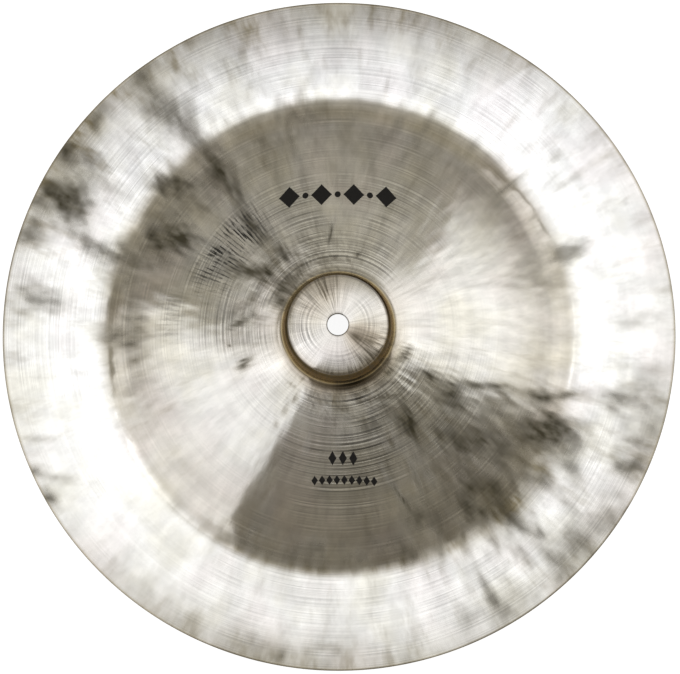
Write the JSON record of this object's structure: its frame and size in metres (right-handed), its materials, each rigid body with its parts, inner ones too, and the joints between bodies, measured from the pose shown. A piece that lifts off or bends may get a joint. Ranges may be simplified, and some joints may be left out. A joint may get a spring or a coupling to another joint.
{
  "type": "china cymbal",
  "caption": "Thin hand-hammered china cymbal: one bronze disc with a short drum-shaped bell, an arched bow and an upturned outer flange.",
  "frame": {"origin": "on the cymbal's axis, level with the underside of the fold that it lies on", "axes": "+Z along the axis, out of the top of the bell; +X and +Y lie in the plane of the disc, which is round about Z"},
  "size_m": [0.4574, 0.4574, 0.0481],
  "materials": {
    "bell_bronze": "hand-hammered, lathed and buffed bell bronze with dull patches"
  },
  "bodies": {
    "root": {"cymbal": "bell_bronze"}
  },
  "joints": []
}
